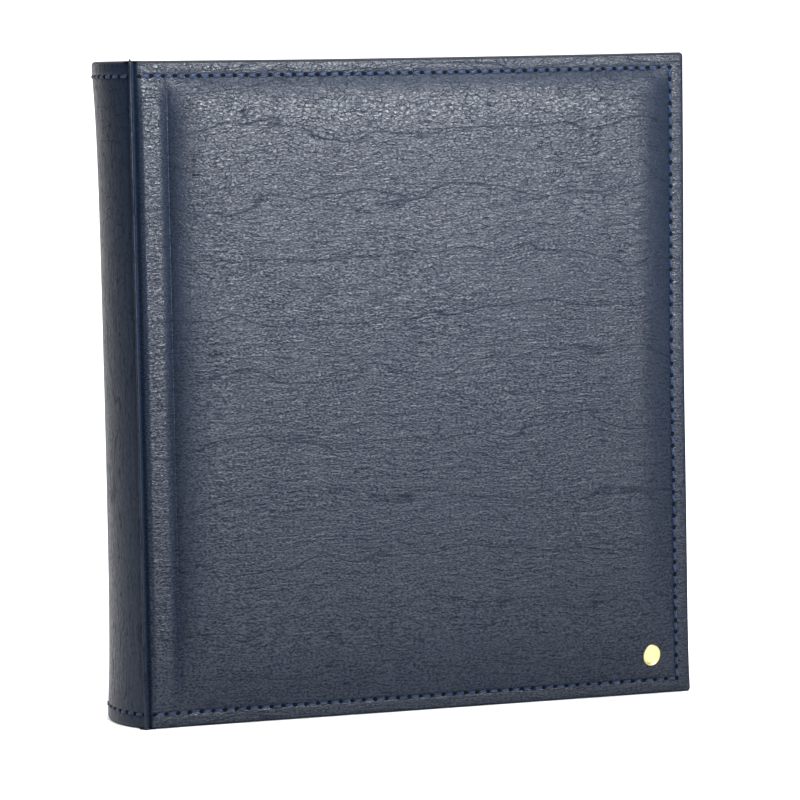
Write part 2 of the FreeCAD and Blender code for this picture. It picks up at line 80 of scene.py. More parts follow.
MM = 0.001
HINGE = {joint["name"]: Vector(joint["pos_m"]) for joint in frame["joints"]}
CREASE_X = HINGE["front_cover_hinge"].x
HALF = HINGE["spine_hinge"].y
FORE_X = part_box("front_skin")[1].x
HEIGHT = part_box("front_skin")[1].z
MIDDLE_Z = HEIGHT / 2
COVER_WIDTH = FORE_X - CREASE_X
LINING_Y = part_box("back_lining")[0].y
COVER_BUILD = HALF - LINING_Y
SPINE_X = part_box("spine_skin")[0].x
BULGE = CREASE_X - SPINE_X
SPINE_RADIUS = (HALF * HALF + BULGE * BULGE) / (2 * BULGE)
SPINE_AXIS_X = SPINE_X + SPINE_RADIUS
SPINE_HALF_ARC = SPINE_RADIUS * math.asin(HALF / SPINE_RADIUS)
RING_OFFSETS = (-77.5 * MM, -32.5 * MM, 32.5 * MM, 77.5 * MM)
SIDES = {"front": -1, "back": 1}
COVER_BODY = {"front": "front_cover", "back": "back_cover"}


# --- settings

def length(name, description, default):
    return bpy.props.FloatProperty(name=name, description=description, default=default, unit="LENGTH")


def turn_by(name, description, degrees):
    return bpy.props.FloatProperty(name=name, description=description, default=math.radians(degrees),
                                   subtype="ANGLE")


def hex_colour(name, what, default):
    return bpy.props.StringProperty(name=name, description=f"sRGB hex of {what}", default=default)


class AlbumLeather(bpy.types.PropertyGroup):
    # Painted shade: the grain is coloured from this colour in its furrows to the top colour below, which
    # stands in for the shade that falls in the furrows
    colour: hex_colour("Leather colour", "the dyed leatherette", "#050d1a")
    unshaded_top_colour: hex_colour("Unshaded grain colour", "the tops of the grain", "#0e1c2f")
    crown: length("Padding height", "Height of the padded middle above the board's edge", 4.6 * MM)
    strip: length("Hinge strip height", "Height of the soft strip beside the hinge groove", 1.5 * MM)
    groove: length("Hinge groove depth", "Depth of the groove beside the fold", 1.3 * MM)
    waist: length("Spine waist", "How far the middle of the spine draws in from its two ends", 1.9 * MM)
    grain: length("Grain size", "Width of one pebble of the embossed grain", 1.15 * MM)


class AlbumStitching(bpy.types.PropertyGroup):
    colour: hex_colour("Thread colour", "the polyester thread", "#1a395e")
    pitch: length("Stitch pitch", "From one needle hole to the next", 4.85 * MM)
    inset: length("Stitch inset", "From the cover's edge to the seam", 6.0 * MM)
    thread: length("Thread diameter", "Of the two twisted plies together", 1.25 * MM)
    hole: length("Needle hole", "Length of a needle hole along the seam", 2.0 * MM)


class AlbumPages(bpy.types.PropertyGroup):
    rows: bpy.props.IntProperty(name="Pocket rows", description="Pockets up one page", default=6)
    columns: bpy.props.IntProperty(name="Pocket columns", description="Pockets across one page", default=4)
    film_colour: hex_colour("Film colour", "the clear film", "#dfe8ee")
    card_colour: hex_colour("Card colour", "the cards between the pages", "#17181b")


class AlbumMetal(bpy.types.PropertyGroup):
    nickel_colour: hex_colour("Nickel colour", "the plated steel", "#c9c6bf")
    gilt_colour: hex_colour("Gilt colour", "the badge", "#f2dfa2")
    edge_round: length("Edge rounding", "Radius on pressed metal edges", 0.15 * MM)


class AlbumStage(bpy.types.PropertyGroup):
    turn: turn_by("Camera turn", "Round the album from square on to the front cover", 16.3)
    tilt: turn_by("Camera tilt", "Down from level", 5.46)
    roll: turn_by("Camera roll", "About the line of sight", -0.99)
    distance: length("Camera distance", "From the middle of the front cover's height", 1.406)
    lens: bpy.props.FloatProperty(name="Lens", description="Focal length in millimetres", default=154.1)


SETTINGS = {
    "album_leather": AlbumLeather,
    "album_stitching": AlbumStitching,
    "album_pages": AlbumPages,
    "album_metal": AlbumMetal,
    "album_stage": AlbumStage,
}


# --- small tools

def linear(hex_text):
    """An sRGB hex colour as linear red, green, blue and alpha."""
    parts = [int(hex_text[place:place + 2], 16) / 255 for place in (1, 3, 5)]
    return (*[c / 12.92 if c <= 0.04045 else ((c + 0.055) / 1.055) ** 2.4 for c in parts], 1.0)


def add(tree, kind, inputs=None, **settings):
    """Add one node, set its properties, and fill or link its inputs."""
    made = tree.nodes.new(kind)
    for field, value in settings.items():
        setattr(made, field, value)
    for key, value in (inputs or {}).items():
        if isinstance(value, bpy.types.NodeSocket):
            tree.links.new(value, made.inputs[key])
        else:
            made.inputs[key].default_value = value
    return made


def new_material(name):
    """A material with its Principled shader, tree and Object coordinates in millimetres."""
    material = bpy.data.materials.new(name)
    material.use_nodes = True
    tree = material.node_tree
    coordinates = add(tree, "ShaderNodeTexCoord")
    in_mm = add(tree, "ShaderNodeVectorMath", {0: coordinates.outputs["Object"], "Scale": 1 / MM},
                operation="SCALE")
    return material, tree, tree.nodes["Principled BSDF"], in_mm.outputs["Vector"]


def mesh_object(name, vertices, faces, materials, face_materials=None, smooth=True):
    mesh = bpy.data.meshes.new(name)
    mesh.from_pydata([tuple(v) for v in vertices], [], faces)
    for material in materials:
        mesh.materials.append(material)
    if face_materials is not None:
        mesh.polygons.foreach_set("material_index", face_materials)
    mesh.polygons.foreach_set("use_smooth", [smooth] * len(mesh.polygons))
    mesh.update()
    made = bpy.data.objects.new(name, mesh)
    bpy.context.scene.collection.objects.link(made)
    return made


def weld(made, distance=0.002 * MM):
    """Merge doubles, drop faces that collapsed and point every face outwards."""
    work = bmesh.new()
    work.from_mesh(made.data)
    bmesh.ops.remove_doubles(work, verts=work.verts, dist=distance)
    bmesh.ops.dissolve_degenerate(work, edges=work.edges, dist=distance)
    bmesh.ops.recalc_face_normals(work, faces=work.faces)
    work.to_mesh(made.data)
    work.free()
    made.data.update()
    return made


def bake_modifiers(made):
    """Turn an object with modifiers into the plain mesh that they give."""
    graph = bpy.context.evaluated_depsgraph_get()
    plain = bpy.data.meshes.new_from_object(made.evaluated_get(graph))
    made.modifiers.clear()
    made.data = plain
    return made


def tube_faces(rows, around):
    """The sides of a tube of points, row after row, each row once round."""
    return [(row * around + number, row * around + (number + 1) % around,
             (row + 1) * around + (number + 1) % around, (row + 1) * around + number)
            for row in range(rows - 1) for number in range(around)]


def tube_caps(rows, around):
    return [tuple(reversed(range(around))), tuple((rows - 1) * around + number for number in range(around))]


def smooth_step(value, low, high):
    share = np.clip((value - low) / (high - low), 0, 1)
    return share * share * (3 - 2 * share)


def steps(*stations):
    """Grid lines through stations (place, spacing after it), with the last place closing them."""
    lines = []
    for (start, spacing), (end, _) in zip(stations, stations[1:]):
        count = max(1, round((end - start) / spacing))
        lines.extend(start + (end - start) * number / count for number in range(count))
    return np.array(lines + [stations[-1][0]])


# --- materials

def stretched(tree, space, shape):
    """Coordinates multiplied axis by axis."""
    return add(tree, "ShaderNodeVectorMath", {0: space, 1: shape}, operation="MULTIPLY").outputs[0]


def moved(tree, colour, reach, space):
    """Coordinates pushed about by a noise colour, as far as reach."""
    return add(tree, "ShaderNodeVectorMath", {0: colour, 1: reach, 2: space},
               operation="MULTIPLY_ADD").outputs[0]


def noise(tree, space, scale, detail=2.0, output="Fac"):
    made = add(tree, "ShaderNodeTexNoise", {"Vector": space, "Scale": scale, "Detail": detail})
    return made.outputs[output]


def ranged(tree, value, low, high, to_low=0.0, to_high=1.0, **settings):
    """value taken from the range low to high into the range to_low to to_high."""
    return add(tree, "ShaderNodeMapRange", {"Value": value, "From Min": low, "From Max": high,
                                            "To Min": to_low, "To Max": to_high}, **settings).outputs[0]


def scaled(tree, value, factor, plus=0.0):
    """value x factor + plus, where any of them may be a socket."""
    return add(tree, "ShaderNodeMath", {0: value, 1: factor, 2: plus}, operation="MULTIPLY_ADD").outputs[0]


def product(tree, first, second):
    return add(tree, "ShaderNodeMath", {0: first, 1: second}, operation="MULTIPLY").outputs[0]


def between(tree, share, low, high):
    """A colour between two sRGB hex colours."""
    return add(tree, "ShaderNodeMix", {"Factor": share, "A": linear(low), "B": linear(high)},
               data_type="RGBA").outputs["Result"]


def relief(tree, height, distance, strength=1.0):
    return add(tree, "ShaderNodeBump", {"Height": height, "Distance": distance,
                                        "Strength": strength}).outputs[0]


def dress(tree, shader, **values):
    """Set or link the shader's sockets: base, rough, normal, metal, shine, alpha, ior."""
    sockets = {"base": "Base Color", "rough": "Roughness", "normal": "Normal", "metal": "Metallic",
               "shine": "Specular IOR Level", "alpha": "Alpha", "ior": "IOR"}
    for key, value in values.items():
        if isinstance(value, bpy.types.NodeSocket):
            tree.links.new(value, shader.inputs[sockets[key]])
        else:
            shader.inputs[sockets[key]].default_value = value


def cell_net(tree, space, cell, shoulder):
    """The net of furrows between cells of a size in millimetres: 0 in a furrow, 1 on the cells."""
    squeezed = stretched(tree, space, tuple(1 / side for side in cell))
    cells = add(tree, "ShaderNodeTexVoronoi", {"Vector": squeezed, "Scale": 1.0}, feature="DISTANCE_TO_EDGE")
    return ranged(tree, cells.outputs["Distance"], 0.0, shoulder, interpolation_type="SMOOTHSTEP")


def flow_lines(tree, space, axis, spacing, stretch, width, waver):
    """Furrows side by side across an axis, wandering as they go: 0 in a furrow, 1 between.

    spacing is in millimetres, stretch is how much longer than wide the wandering is.
    """
    step = 0.314 / spacing
    squeezed = stretched(tree, space, tuple(step if letter == axis else step / stretch for letter in "XYZ"))
    wave = add(tree, "ShaderNodeTexWave", {"Vector": squeezed, "Scale": 1.0, "Distortion": waver,
                                           "Detail": 3.0, "Detail Scale": 2.2, "Detail Roughness": 0.6},
               bands_direction=axis)
    return ranged(tree, wave.outputs["Fac"], 0.0, width, interpolation_type="SMOOTHSTEP")


def specks(tree, space, cell):
    """Fine uneven grain of a size in millimetres: 0 in the pits, 1 on the tops."""
    squeezed = stretched(tree, space, tuple(1 / side for side in cell))
    return ranged(tree, noise(tree, squeezed, 1.0, 1.5), 0.32, 0.68, interpolation_type="SMOOTHSTEP")


def leatherette(name, settings, drawn=False):
    """Embossed PU leatherette: dark dyed film with a satin shine, pebbled by a roller, then creased.

    The furrows are painted darker and less shiny than the tops, as painted shade. Drawn over the spine, the
    grain runs along it.
    """
    material, tree, shader, mm = new_material(name)
    grain = settings.grain / MM
    # Furrows wander, because the roller's pattern was cast from a hide
    slow_shift = moved(tree, noise(tree, mm, 1 / 38, 1.0, "Color"), (9, 9, 12), mm)
    space = moved(tree, noise(tree, mm, 0.42, 3.0, "Color"), (1.8, 1.8, 1.3), slow_shift)
    if drawn:
        pebbles = specks(tree, mm, (0.7 * grain, 0.7 * grain, 1.6 * grain))
        creases = flow_lines(tree, space, "Y", 2.2, 4.0, 0.2, 9.0)
        net = cell_net(tree, space, (3.0, 3.0, 5.0), 0.08)
    else:
        pebbles = specks(tree, mm, (0.95 * grain, 0.95 * grain, 0.5 * grain))
        creases = flow_lines(tree, space, "Z", 1.7, 2.6, 0.28, 9.0)
        net = cell_net(tree, space, (2.8, 2.8, 1.7), 0.07)
    # Each kind of furrow is deep in some patches and missing in others
    height_up = add(tree, "ShaderNodeSeparateXYZ", {0: mm}).outputs["Z"]
    mixed = add(tree, "ShaderNodeMath", {0: noise(tree, mm, 1 / 26, 3.0),
                                         1: ranged(tree, height_up, 90.0, 250.0, -0.22, 0.2)},
                operation="ADD").outputs[0]
    net_share = ranged(tree, mixed, 0.42, 0.68)
    crease_share = ranged(tree, mixed, 0.3, 0.62, 0.75, 0.45)
    # A furrow comes and goes along its way
    gaps_space = stretched(tree, space, (0.4, 0.4, 0.08) if drawn else (0.16, 0.16, 0.45))
    presence = ranged(tree, noise(tree, gaps_space, 1.0), 0.4, 0.62, 0.25, 1.0)
    crease_share = scaled(tree, crease_share, presence)
    # A few long furrows, where the sheet was bent on its way round the board
    folds = flow_lines(tree, slow_shift, "Y" if drawn else "Z", 24.0, 3.0, 0.004, 6.0)
    # Heights in millimetres
    swell_space = stretched(tree, space, (0.22, 0.22, 0.22) if drawn else (0.13, 0.13, 0.4))
    height = scaled(tree, noise(tree, swell_space, 1.0, 3.0), 0.34)
    height = scaled(tree, pebbles, 0.03 if drawn else 0.06, height)
    height = scaled(tree, creases, scaled(tree, crease_share, 0.08), height)
    height = scaled(tree, net, scaled(tree, net_share, 0.05), height)
    height = scaled(tree, folds, 0.07, height)
    # Furrow floors: 0 in the deepest, 1 on the tops, which places the painted shade in the furrows
    less_crease = scaled(tree, scaled(tree, creases, -1.0, 1.0), scaled(tree, crease_share, -0.75), 1.0)
    net_depth = scaled(tree, scaled(tree, net_share, presence), -0.75)
    less_net = scaled(tree, scaled(tree, net, -1.0, 1.0), net_depth, 1.0)
    less_fold = scaled(tree, folds, 0.3, 0.7)
    # Where the sheet is creased into a net, it is pulled smooth in between
    pebble_share = scaled(tree, net_share, -0.15 if drawn else -0.25, 0.25 if drawn else 0.62)
    less_pebble = scaled(tree, scaled(tree, pebbles, 1.0, -1.0), pebble_share, 1.0)
    tops = scaled(tree, less_pebble, scaled(tree, less_fold, scaled(tree, less_crease, less_net)))
    # The socket's own level, which stays behind the link
    dress(tree, shader, shine=0.35)
    # Painted shade: the colour darkens and the shine drops from the tops into the furrows
    dress(tree, shader, base=between(tree, tops, settings.colour, settings.unshaded_top_colour),
          rough=ranged(tree, tops, 0.0, 1.0, 0.8, 0.38),
          shine=ranged(tree, tops, 0.0, 1.0, 0.07, 0.27 if drawn else 0.5),
          normal=relief(tree, height, MM, 0.6 if drawn else 1.0))
    return material


def polyester_thread(settings):
    """Twisted polyester sewing thread: bright filaments with a silky, uneven shine."""
    material, tree, shader, mm = new_material("polyester_thread")
    # Filaments are drawn four times too coarse, because real ones are finer than any view shows
    filaments = noise(tree, mm, 3.0, 3.0)
    dress(tree, shader, base=between(tree, filaments, "#0b1730", settings.colour), rough=0.5,
          normal=relief(tree, filaments, 0.2 * MM, 0.7))
    return material


def painted_shade_edge():
    """Painted shade on the rounded leather edges: a dark, matt colour with little shine, standing in for the
    dark reflection along the edges.
    """
    material, tree, shader, mm = new_material("painted_shade_edge")
    shade_mottle = noise(tree, mm, 0.5, 3.0)
    dress(tree, shader, base=between(tree, shade_mottle, "#04070e", "#0e1626"), rough=0.6, shine=0.2)
    return material


def needle_hole():
    """The shadowed floor of a needle hole in dyed leatherette."""
    material, tree, shader, mm = new_material("needle_hole")
    dress(tree, shader, base=between(tree, noise(tree, mm, 2.0), "#04070e", "#0a1120"), rough=0.9, shine=0.1)
    return material


def lining_cloth():
    """Fine book cloth on the insides: a tight plain weave, matt."""
    material, tree, shader, mm = new_material("book_cloth")
    # Thread spacing 0.5 mm
    across, along = (add(tree, "ShaderNodeTexWave", {"Vector": mm, "Scale": 0.63, "Distortion": 1.2,
                                                     "Detail": 2.0}, bands_direction=axis).outputs["Fac"]
                     for axis in "XZ")
    weave = product(tree, across, along)
    shade = product(tree, weave, noise(tree, mm, 1 / 18, 3.0))
    dress(tree, shader, base=between(tree, shade, "#161a24", "#343b4e"), rough=0.85,
          normal=relief(tree, weave, 0.12 * MM, 0.6))
    return material


def greyboard():
    """Pressed waste-paper board: matt grey with flecks of fibre."""
    material, tree, shader, mm = new_material("pressed_greyboard")
    flecks = noise(tree, mm, 1.6, 4.0)
    dress(tree, shader, base=between(tree, flecks, "#6e6a63", "#a39d93"), rough=0.92,
          normal=relief(tree, flecks, 0.1 * MM))
    return material


def nickel_plate(settings, name, roughness, brush):
    """Nickel-plated steel: a warm grey metal, with the rolling lines of the sheet under the plate."""
    material, tree, shader, mm = new_material(name)
    lines = noise(tree, stretched(tree, mm, (6, 6, 0.12)), 1.0, 3.0)
    both = product(tree, lines, noise(tree, mm, 0.16, 4.0))
    dress(tree, shader, base=linear(settings.nickel_colour), metal=1.0,
          rough=ranged(tree, both, 0.0, 0.5, roughness, roughness + 0.14),
          normal=relief(tree, lines, brush, 0.3))
    return material


def gilt_brass(settings):
    """Polished gilt brass: a pale, warm mirror softened by handling."""
    material, tree, shader, mm = new_material("gilt_brass")
    dress(tree, shader, base=linear(settings.gilt_colour), metal=1.0,
          rough=ranged(tree, noise(tree, mm, 0.7, 4.0), 0.0, 1.0, 0.26, 0.5))
    return material


def clear_film(settings, name, alpha, roughness):
    """Plasticised PVC film: clear and glossy, with the slight ripple of a calendered sheet."""
    material, tree, shader, mm = new_material(name)
    ripple = noise(tree, mm, 1 / 14)
    dress(tree, shader, base=linear(settings.film_colour), alpha=alpha, ior=1.53,
          rough=ranged(tree, ripple, 0.0, 1.0, roughness, roughness + 0.08),
          normal=relief(tree, ripple, 0.6 * MM, 0.5))
    return material


def interleaf_card(settings):
    """Uncoated black card: matt, faintly mottled by its fibres."""
    material, tree, shader, mm = new_material("uncoated_card")
    fibres = add(tree, "ShaderNodeTexNoise", {"Vector": mm, "Scale": 2.2, "Detail": 5.0,
                                              "Roughness": 0.7}).outputs["Fac"]
    dress(tree, shader, base=between(tree, fibres, "#0d0e10", settings.card_colour), rough=0.88,
          normal=relief(tree, fibres, 0.05 * MM))
    return material


def finish_of(name):
    """A finish by name, made once, from the scene's settings."""
    found = bpy.data.materials.get(name)
    if found:
        return found
    scene = bpy.context.scene
    makers = {
        "pebbled_leatherette": lambda: leatherette("pebbled_leatherette", scene.album_leather),
        "drawn_leatherette": lambda: leatherette("drawn_leatherette", scene.album_leather, True),
        "polyester_thread": lambda: polyester_thread(scene.album_stitching),
        "painted_shade_edge": painted_shade_edge,
        "needle_hole": needle_hole,
        "book_cloth": lining_cloth,
        "pressed_greyboard": greyboard,
        "plated_sheet": lambda: nickel_plate(scene.album_metal, "plated_sheet", 0.24, 0.05 * MM),
        "plated_wire": lambda: nickel_plate(scene.album_metal, "plated_wire", 0.1, 0.01 * MM),
        "gilt_brass": lambda: gilt_brass(scene.album_metal),
        "glossy_film": lambda: clear_film(scene.album_pages, "glossy_film", 0.3, 0.06),
        "welded_film": lambda: clear_film(scene.album_pages, "welded_film", 0.55, 0.3),
        "uncoated_card": lambda: interleaf_card(scene.album_pages),
    }
    return makers[name]()


# --- wrapped panels

EDGE_ROUND = 1.5 * MM
TURN_IN = 14 * MM
FAN = 5  # Parts of a corner's fan
ARC = 4  # Parts of an edge's quarter circle
# Rings of the border that get the painted shade of the rounded edge
SHADE_EDGE_RINGS = range(1, 8)  # Of the border, those on the rounded edge


def wrapped_panel(name, s_lines, v_lines, height, inner, to_space, materials, soft_sides, window):
    """A closed leather-covered panel: a face over (s, v), rounded edges, a turned-in border and a back.

    height(s, v) is the face, inner(s, v) is the inside, both above the board's outer plane.
    soft_sides says which of the sides (low s, high s) end in a hinge, where the edge isn't padded out.
    window is how far the closed back lies above the turned-in border.
    """
    s_count = len(s_lines)
    v_count = len(v_lines)
    s_grid, v_grid = np.meshgrid(s_lines, v_lines, indexing="ij")
    points = [np.stack([s_grid, v_grid, height(s_grid, v_grid)], -1).reshape(-1, 3)]
    index = np.arange(s_count * v_count).reshape(s_count, v_count)
    quads = np.stack([index[:-1, :-1], index[1:, :-1], index[1:, 1:], index[:-1, 1:]], -1).reshape(-1, 4)
    faces = quads.tolist()

    # The border once round: head, high side, foot, low side, with a fan at each corner
    reach = [0.15 if soft else 1.0 for soft in soft_sides]
    border = []
    runs = (
        ([(i, v_count - 1) for i in range(s_count)], (0, 1), (reach[1], 0)),
        ([(s_count - 1, j) for j in reversed(range(v_count))], (reach[1], 0), (0, -1)),
        ([(i, 0) for i in reversed(range(s_count))], (0, -1), (-reach[0], 0)),
        ([(0, j) for j in range(v_count)], (-reach[0], 0), (0, 1)),
    )
    for cells, direction, following in runs:
        inward = (np.sign(direction[0]), np.sign(direction[1]))
        border.extend((cell, direction, inward) for cell in cells)
        mitre = (np.sign(direction[0] + following[0]), np.sign(direction[1] + following[1]))
        for number in range(1, FAN):
            angle = math.pi / 2 * number / FAN
            fan = (direction[0] * math.cos(angle) + following[0] * math.sin(angle),
                   direction[1] * math.cos(angle) + following[1] * math.sin(angle))
            border.append((cells[-1], fan, mitre))
    base = np.array([points[0][index[cell]] for cell, _, _ in border])
    outward = np.array([direction for _, direction, _ in border])
    inward = np.array([direction for _, _, direction in border])
    roundness = np.linalg.norm(outward, axis=1)

    arc = [math.pi / 2 * number / ARC for number in range(1, ARC + 1)]
    profile = [(EDGE_ROUND * math.sin(a), -EDGE_ROUND * (1 - math.cos(a)), 0) for a in arc]
    profile += [(EDGE_ROUND, 0, 0.5)]
    profile += [(EDGE_ROUND * math.cos(a), -EDGE_ROUND * (1 - math.sin(a)), 1) for a in [0] + arc]
    profile += [(-reach_in, 0, 1) for reach_in in (1 * MM, 2.4 * MM, 3.4 * MM, 4.4 * MM,
                                                   TURN_IN - 0.3 * MM, TURN_IN)]
    profile += [(-TURN_IN, window, 1)]
    limits_low = np.array([s_lines[0], v_lines[0]])
    limits_high = np.array([s_lines[-1], v_lines[-1]])
    previous = np.array([index[cell] for cell, _, _ in border])
    start = len(points[0])
    count = len(border)
    for offset, drop, share in profile:
        place = base[:, :2] + offset * (outward if offset >= 0 else inward)
        if offset < 0:
            place = np.clip(place, limits_low - offset, limits_high + offset)
        floor = inner(np.clip(place[:, 0], s_lines[0], s_lines[-1]), place[:, 1])
        if share == 0:
            level = base[:, 2] + drop * roundness
        elif share == 0.5:
            level = (base[:, 2] + floor) / 2
        elif offset >= 0:
            level = floor - drop * roundness
        else:
            level = floor + drop
        points.append(np.column_stack([place, level]))
        ring = start + np.arange(count)
        start += count
        following = np.roll(ring, -1)
        before = np.roll(previous, -1)
        faces.extend(np.stack([previous, ring, following, before], -1).tolist())
        previous = ring
    faces.append(previous.tolist()[::-1])
    flat = np.concatenate(points)
    made = mesh_object(name, to_space(flat[:, 0], flat[:, 1], flat[:, 2]), faces, materials)
    # Painted shade on the rounded edges, apart from those at a hinge
    shaded_columns = np.flatnonzero(roundness > 0.9)
    for ring in SHADE_EDGE_RINGS:
        for column in shaded_columns:
            made.data.polygons[int(len(quads) + ring * count + column)].material_index = 1
    return weld(made)


def rounded_rise(distance, length):
    return 1 - np.exp(-np.maximum(distance, 0) / length)


def arched_rise(distance, length):
    return 1 - (1 - np.clip(distance / length, 0, 1)) ** 2


def seam_dimples(along, pitch):
    """One at a needle hole, zero between two of them."""
    return 0.5 + 0.5 * np.cos(2 * math.pi * along / pitch)


VALLEY_U = 13.6 * MM
VALLEY_DEPTH = 0.45 * MM


def cover_place(which, u, v, w):
    """A point of a cover: u from the fold, v up, w above the board, with the board's slight warp."""
    warp = 1.0 if which == "front" else 0.5
    head = -0.5 * MM * np.sin(math.pi * np.clip(u / COVER_WIDTH, 0, 1)) * smooth_step(v, 200 * MM, HEIGHT)
    fore = -0.5 * MM * np.exp(-((v - 145 * MM) / (55 * MM)) ** 2) + 0.8 * MM * np.exp(-v / (18 * MM))
    fore = fore * smooth_step(u, COVER_WIDTH - 60 * MM, COVER_WIDTH)
    return np.stack([CREASE_X + u + warp * fore, SIDES[which] * (HALF + w), v + warp * head], -1)


def cover_height(settings, seam, u, v):
    """The padded face of a cover: u from the fold to the fore-edge, v up from the foot."""
    from_fore = COVER_WIDTH - u
    from_head = HEIGHT - v
    inset = seam.inset
    # The padding rises from the seam on three sides and from the soft valley on the hinge side
    ends = rounded_rise(v - inset - 0.8 * MM, 13 * MM) * rounded_rise(from_head - inset - 0.8 * MM, 6.5 * MM)
    crown = settings.crown * ends * arched_rise(from_fore - inset - 0.8 * MM, 16 * MM)
    crown = crown * rounded_rise(u - VALLEY_U, 8 * MM)
    # Soft strip between the groove and the valley
    away = rounded_rise(v - inset, 10 * MM) * rounded_rise(from_head - inset, 10 * MM)
    strip = settings.strip * smooth_step(u, 0.6 * MM, 3.8 * MM) * (0.25 + 0.75 * away)
    floor = VALLEY_DEPTH * np.exp(-np.maximum(u - VALLEY_U, 0) / (1.3 * MM))
    fall = (np.maximum(u - 9.4 * MM, 0) / (VALLEY_U - 9.4 * MM)) ** 1.7
    strip = np.where(u < VALLEY_U, strip - (strip + VALLEY_DEPTH * away) * fall, -floor * away)
    groove = -settings.groove * (1 - smooth_step(u, 0.4 * MM, 2.0 * MM))
    # Seam: a shallow trough with a dimple at each needle hole, and a slight roll outside it
    fade = smooth_step(u, 2 * MM, 5 * MM)
    seams = np.zeros_like(u)
    rolls = np.zeros_like(u)
    # The troughs end where the rows meet, before they reach the edges
    inside = smooth_step(np.minimum(np.minimum(v, from_head), from_fore), inset - 2 * MM, inset - 1 * MM)
    for distance, along in ((v, u), (from_head, u), (from_fore, v)):
        near = inside * np.exp(-((distance - inset) / (0.8 * MM)) ** 2)
        seams = np.maximum(seams, near * (0.55 + 0.45 * seam_dimples(along, seam.pitch)))
        rolls = np.maximum(rolls, np.exp(-((distance - 3.1 * MM) / (1.5 * MM)) ** 2))
    return crown + strip + groove + fade * (0.1 * MM * rolls - 0.36 * MM * seams)


def cover_slow_swell(u, v):
    """Uneven foam: a few tenths of a millimetre over tens of millimetres."""
    swell = np.sin(u / (31 * MM) + 1.3) * np.sin(v / (37 * MM) + 0.4)
    swell = swell + 0.6 * np.sin(u / (17 * MM) + v / (23 * MM))
    swell = swell + 0.4 * np.sin(v / (11 * MM) - u / (29 * MM) + 2)
    return 0.1 * MM * swell


def build_cover(which):
    scene = bpy.context.scene
    settings = scene.album_leather
    seam = scene.album_stitching
    low = EDGE_ROUND
    quarter = seam.pitch / 4
    past_seam = 8 * MM
    u_lines = steps((-0.1 * MM, 0.3 * MM), (4.5 * MM, 0.6 * MM), (12.6 * MM, 0.2 * MM), (14.4 * MM, quarter),
                    (COVER_WIDTH - past_seam, 0.5 * MM), (COVER_WIDTH - low, 1))
    v_lines = steps((low, 0.5 * MM), (past_seam, quarter), (HEIGHT - past_seam, 0.5 * MM), (HEIGHT - low, 1))

    def height(u, v):
        face = cover_height(settings, seam, u, v)
        soft = np.clip(face / settings.crown, 0, 1)
        return face + cover_slow_swell(u, v) * soft

    def inner(u, v):
        level = -COVER_BUILD + 2.2 * MM * (1 - smooth_step(u, 3.0 * MM, 4.2 * MM))
        if which == "back":
            # The lining runs over the turned-in leather here, up to the turned-in head and foot
            covered = smooth_step(u, 4.0 * MM, 4.4 * MM) - smooth_step(u, 14.6 * MM, 15 * MM)
            covered = np.where((v > TURN_IN - 0.1 * MM) & (v < HEIGHT - TURN_IN + 0.1 * MM), covered, 0)
            level = level + 0.9 * MM * covered
        return level

    def to_space(u, v, w):
        return cover_place(which, u, v, w)

    made = wrapped_panel(f"{which}_leather", u_lines, v_lines, height, inner, to_space,
                         [finish_of("pebbled_leatherette"), finish_of("painted_shade_edge")], (True, False), 0.9 * MM)
    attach(made, COVER_BODY[which])
    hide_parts(f"{which}_skin", f"{which}_padding")


# --- spine

def spine_to_space(s, v, w):
    angle = s / SPINE_RADIUS
    radius = SPINE_RADIUS + w
    return np.column_stack([SPINE_AXIS_X - radius * np.cos(angle), radius * np.sin(angle), v])


def spine_height(settings, seam, s, v):
    """The spine draws in between its stiff, stitched ends."""
    from_end = np.minimum(v, HEIGHT - v)
    waist = rounded_rise(from_end - 4 * MM, 26 * MM) * np.cos(s / SPINE_HALF_ARC * math.pi / 2) ** 0.8
    near = np.exp(-((from_end - seam.inset) / (0.9 * MM)) ** 2)
    dimples = near * (0.5 + 0.5 * seam_dimples(s, seam.pitch))
    return -settings.waist * waist - 0.3 * MM * dimples


def build_spine():
    scene = bpy.context.scene
    settings = scene.album_leather
    seam = scene.album_stitching
    end = SPINE_HALF_ARC - 0.35 * MM
    s_lines = steps((-end, 0.6 * MM), (end, 1))
    v_lines = steps((EDGE_ROUND, 0.5 * MM), (8 * MM, 1.6 * MM), (HEIGHT - 8 * MM, 0.5 * MM),
                    (HEIGHT - EDGE_ROUND, 1))

    def inner(s, v):
        return -0.9 * MM - 1.88 * MM * (1 - smooth_step(np.abs(s), end - 5 * MM, end - 3.6 * MM))

    made = wrapped_panel("spine_leather", s_lines, v_lines,
                         lambda s, v: spine_height(settings, seam, s, v), inner, spine_to_space,
                         [finish_of("drawn_leatherette"), finish_of("painted_shade_edge")], (True, True), 0.3 * MM)
    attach(made, "spine")
    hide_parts("spine_skin", "spine_board")


def build_fold(which):
    """The rolled leather fold along one crease, with a small pinched tip at the head."""
    side = SIDES[which]
    rounds = 12
    tip = HEIGHT + (0.9 * MM if which == "front" else -0.2 * MM)
    heights = steps((0.0, 0.5 * MM), (4 * MM, 3 * MM), (HEIGHT - 4 * MM, 0.5 * MM), (tip, 1))
    vertices = []
    for z in heights:
        pinch = min(1.0, (z + 0.35 * MM) / (0.8 * MM), (tip + 0.3 * MM - z) / (1.6 * MM))
        radius = 0.62 * MM * max(0.2, pinch) * (1 + 0.06 * math.sin(z / (7 * MM)))
        drift = 0.1 * MM * math.sin(z / (41 * MM) + side)
        for number in range(rounds):
            angle = 2 * math.pi * number / rounds
            vertices.append((CREASE_X - 0.85 * MM + drift + radius * math.cos(angle),
                             side * HALF + radius * math.sin(angle), z))
    faces = tube_faces(len(heights), rounds) + tube_caps(len(heights), rounds)
    made = weld(mesh_object(f"{which}_fold", vertices, faces, [finish_of("drawn_leatherette")]))
    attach(made, "spine")


